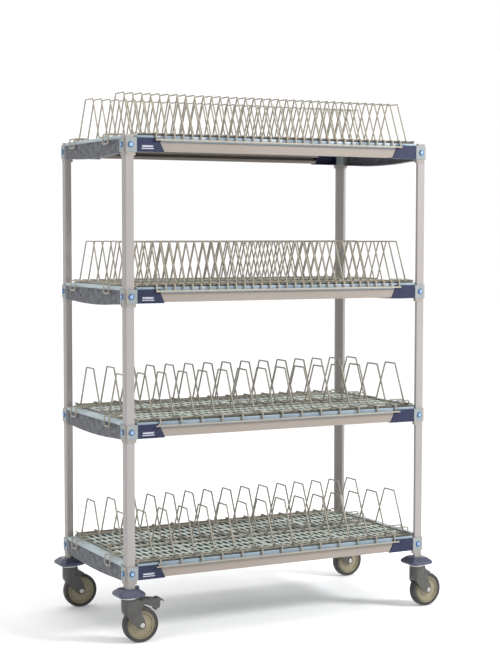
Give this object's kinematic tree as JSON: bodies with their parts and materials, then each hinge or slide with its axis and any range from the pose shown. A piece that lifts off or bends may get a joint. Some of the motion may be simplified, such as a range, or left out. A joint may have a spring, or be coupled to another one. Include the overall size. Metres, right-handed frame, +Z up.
{
  "type": "food service trolley",
  "caption": "Tall mobile drying cart with tiers of open mats on posts, standing wire racks for plates and trays, and swivel casters with bumpers.",
  "frame": {"origin": "on the floor, in the middle of the footprint's bounding box with the casters at rest", "axes": "+X along the long side to the right, +Y from front to rear, +Z up"},
  "size_m": [1.3324, 0.667, 1.873],
  "materials": {
    "post_coat": "satin taupe powder coat",
    "cap_plastic": "moulded grey plastic",
    "collar_plastic": "pale grey-green moulded plastic",
    "button_blue": "blue moulded plastic",
    "navy_plastic": "dark navy moulded composite",
    "beam_coat": "satin taupe powder coat",
    "end_composite": "mottled dark grey composite",
    "label_pale": "plain pale plate",
    "mat_polymer": "pale blue-green moulded polymer",
    "wire_coat": "taupe epoxy-coated wire",
    "bumper_plastic": "dark blue-grey bumper",
    "stem_steel": "zinc-plated steel",
    "ring_plastic": "pale seal ring",
    "fork_polymer": "dark grey glass-filled polymer",
    "axle_steel": "plated steel",
    "tyre_rubber": "dark grey rubber",
    "core_polymer": "khaki moulded polymer",
    "bush_polymer": "pale acetal",
    "pedal_polymer": "dark grey moulded polymer"
  },
  "bodies": {
    "frame": {"post_front_left": "post_coat", "post_front_right": "post_coat", "post_rear_left": "post_coat", "post_rear_right": "post_coat", "post_caps": "cap_plastic", "wedge_collars": "collar_plastic", "lock_buttons": "button_blue", "shelf_corner_castings": "navy_plastic", "long_beams_1": "beam_coat", "end_frames_1": "end_composite", "long_beams_2": "beam_coat", "end_frames_2": "end_composite", "long_beams_3": "beam_coat", "end_frames_3": "end_composite", "long_beams_4": "beam_coat", "end_frames_4": "end_composite", "corner_labels": "label_pale", "bumpers": "bumper_plastic", "caster_stems": "stem_steel", "swivel_rings": "ring_plastic"},
    "mats_1": {"mats_1": "mat_polymer"},
    "plate_rack_1": {"plate_rack_loops_1": "wire_coat", "plate_rack_rails_1": "wire_coat", "plate_rack_skirt_1": "wire_coat"},
    "mats_2": {"mats_2": "mat_polymer"},
    "plate_rack_2": {"plate_rack_loops_2": "wire_coat", "plate_rack_rails_2": "wire_coat", "plate_rack_skirt_2": "wire_coat"},
    "mats_3": {"mats_3": "mat_polymer"},
    "tray_rack_3": {"tray_rack_loops_3": "wire_coat", "tray_rack_rails_3": "wire_coat", "tray_rack_skirt_3": "wire_coat"},
    "mats_4": {"mats_4": "mat_polymer"},
    "tray_rack_4": {"tray_rack_loops_4": "wire_coat", "tray_rack_rails_4": "wire_coat", "tray_rack_skirt_4": "wire_coat"},
    "swivel_front_left": {"caster_fork_front_left": "fork_polymer", "axle_front_left": "axle_steel"},
    "wheel_front_left": {"tyre_front_left": "tyre_rubber", "wheel_core_front_left": "core_polymer", "axle_bush_front_left": "bush_polymer"},
    "brake_front_left": {"brake_pedal_front_left": "pedal_polymer"},
    "swivel_front_right": {"caster_fork_front_right": "fork_polymer", "axle_front_right": "axle_steel"},
    "wheel_front_right": {"tyre_front_right": "tyre_rubber", "wheel_core_front_right": "core_polymer", "axle_bush_front_right": "bush_polymer"},
    "swivel_rear_left": {"caster_fork_rear_left": "fork_polymer", "axle_rear_left": "axle_steel"},
    "wheel_rear_left": {"tyre_rear_left": "tyre_rubber", "wheel_core_rear_left": "core_polymer", "axle_bush_rear_left": "bush_polymer"},
    "swivel_rear_right": {"caster_fork_rear_right": "fork_polymer", "axle_rear_right": "axle_steel"},
    "wheel_rear_right": {"tyre_rear_right": "tyre_rubber", "wheel_core_rear_right": "core_polymer", "axle_bush_rear_right": "bush_polymer"},
    "brake_rear_right": {"brake_pedal_rear_right": "pedal_polymer"}
  },
  "joints": [
    {"name": "mats_lift_1", "type": "slide", "parent": "frame", "child": "mats_1", "axis": [0, 0, 1], "range_m": [0, 0.04]},
    {"name": "rack_lift_1", "type": "slide", "parent": "mats_1", "child": "plate_rack_1", "axis": [0, 0, 1], "range_m": [0, 0.12]},
    {"name": "mats_lift_2", "type": "slide", "parent": "frame", "child": "mats_2", "axis": [0, 0, 1], "range_m": [0, 0.04]},
    {"name": "rack_lift_2", "type": "slide", "parent": "mats_2", "child": "plate_rack_2", "axis": [0, 0, 1], "range_m": [0, 0.12]},
    {"name": "mats_lift_3", "type": "slide", "parent": "frame", "child": "mats_3", "axis": [0, 0, 1], "range_m": [0, 0.04]},
    {"name": "rack_lift_3", "type": "slide", "parent": "mats_3", "child": "tray_rack_3", "axis": [0, 0, 1], "range_m": [0, 0.12]},
    {"name": "mats_lift_4", "type": "slide", "parent": "frame", "child": "mats_4", "axis": [0, 0, 1], "range_m": [0, 0.04]},
    {"name": "rack_lift_4", "type": "slide", "parent": "mats_4", "child": "tray_rack_4", "axis": [0, 0, 1], "range_m": [0, 0.12]},
    {"name": "swivel_front_left", "type": "hinge", "parent": "frame", "child": "swivel_front_left", "pos_m": [-0.61766, -0.285, 0.1], "axis": [0, 0, 1], "continuous": true},
    {"name": "wheel_spin_front_left", "type": "hinge", "parent": "swivel_front_left", "child": "wheel_front_left", "pos_m": [-0.57775, -0.28779, 0.0625], "axis": [0.0698, 0.9976, 0], "continuous": true},
    {"name": "brake_front_left", "type": "hinge", "parent": "swivel_front_left", "child": "brake_front_left", "pos_m": [-0.58174, -0.28751, 0.138], "axis": [0.0698, 0.9976, 0], "range_deg": [0, 5]},
    {"name": "swivel_front_right", "type": "hinge", "parent": "frame", "child": "swivel_front_right", "pos_m": [0.54434, -0.285, 0.1], "axis": [0, 0, 1], "continuous": true},
    {"name": "wheel_spin_front_right", "type": "hinge", "parent": "swivel_front_right", "child": "wheel_front_right", "pos_m": [0.58427, -0.28256, 0.0625], "axis": [-0.061, 0.9981, 0], "continuous": true},
    {"name": "swivel_rear_left", "type": "hinge", "parent": "frame", "child": "swivel_rear_left", "pos_m": [-0.61766, 0.285, 0.1], "axis": [0, 0, 1], "continuous": true},
    {"name": "wheel_spin_rear_left", "type": "hinge", "parent": "swivel_rear_left", "child": "wheel_rear_left", "pos_m": [-0.57771, 0.28291, 0.0625], "axis": [0.0523, 0.9986, 0], "continuous": true},
    {"name": "swivel_rear_right", "type": "hinge", "parent": "frame", "child": "swivel_rear_right", "pos_m": [0.54434, 0.285, 0.1], "axis": [0, 0, 1], "continuous": true},
    {"name": "wheel_spin_rear_right", "type": "hinge", "parent": "swivel_rear_right", "child": "wheel_rear_right", "pos_m": [0.58427, 0.28744, 0.0625], "axis": [-0.061, 0.9981, 0], "continuous": true},
    {"name": "brake_rear_right", "type": "hinge", "parent": "swivel_rear_right", "child": "brake_rear_right", "pos_m": [0.58028, 0.2872, 0.138], "axis": [-0.061, 0.9981, 0], "range_deg": [0, 5]}
  ]
}
